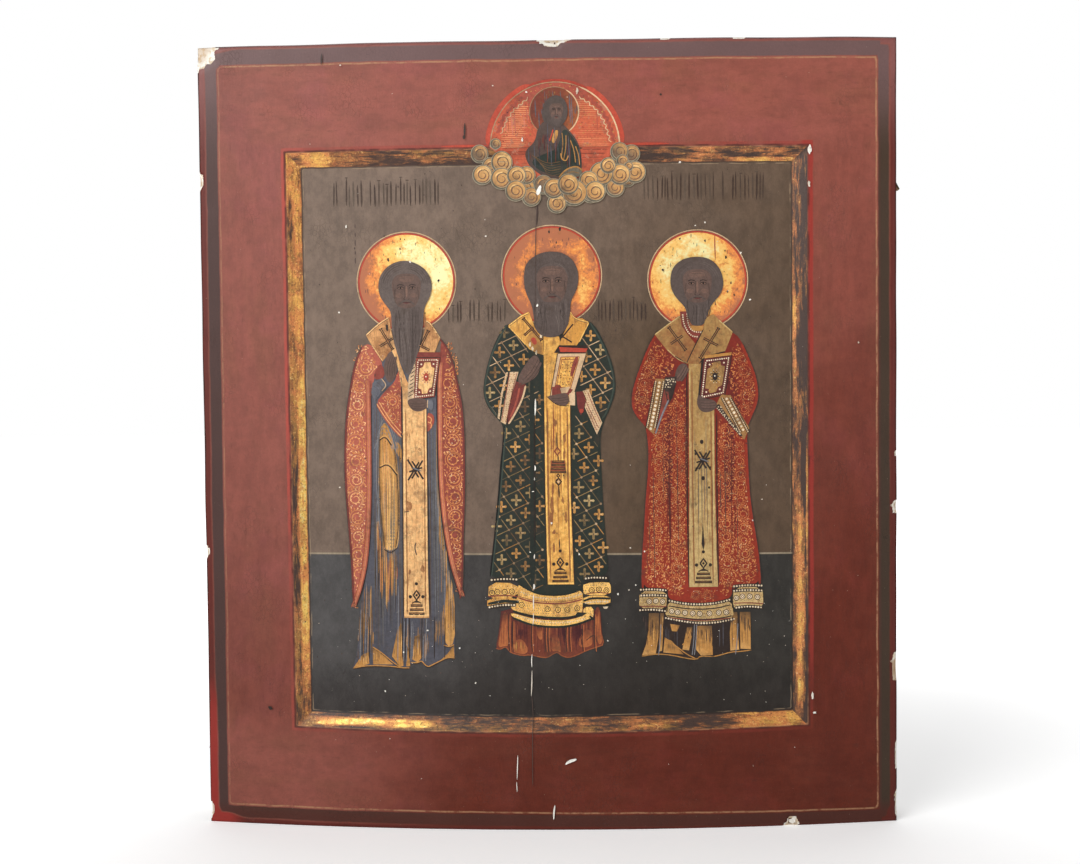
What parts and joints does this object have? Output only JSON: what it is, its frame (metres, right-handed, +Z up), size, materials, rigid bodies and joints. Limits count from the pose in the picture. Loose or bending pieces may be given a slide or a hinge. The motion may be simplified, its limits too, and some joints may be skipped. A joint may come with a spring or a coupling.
{
  "type": "painted wooden icon panel",
  "caption": "Old painted devotional panel of joined boards with a recessed field, gilded bevel and dovetailed back battens, bowed with age and standing upright.",
  "frame": {"origin": "on the underside, below the middle of the whole object's box", "axes": "+Z up along the panel's height, -Y out of the painted front, +X to the right as the front is looked at"},
  "size_m": [0.3274, 0.0488, 0.355],
  "materials": {
    "painted_board": "aged softwood, gessoed and painted in tempera with gilding on the front, bare and darkened at the back",
    "batten_wood": "bare, darkened, hand-planed hardwood"
  },
  "bodies": {
    "root": {"left_board": "painted_board", "right_board": "painted_board", "upper_batten": "batten_wood", "lower_batten": "batten_wood"}
  },
  "joints": []
}
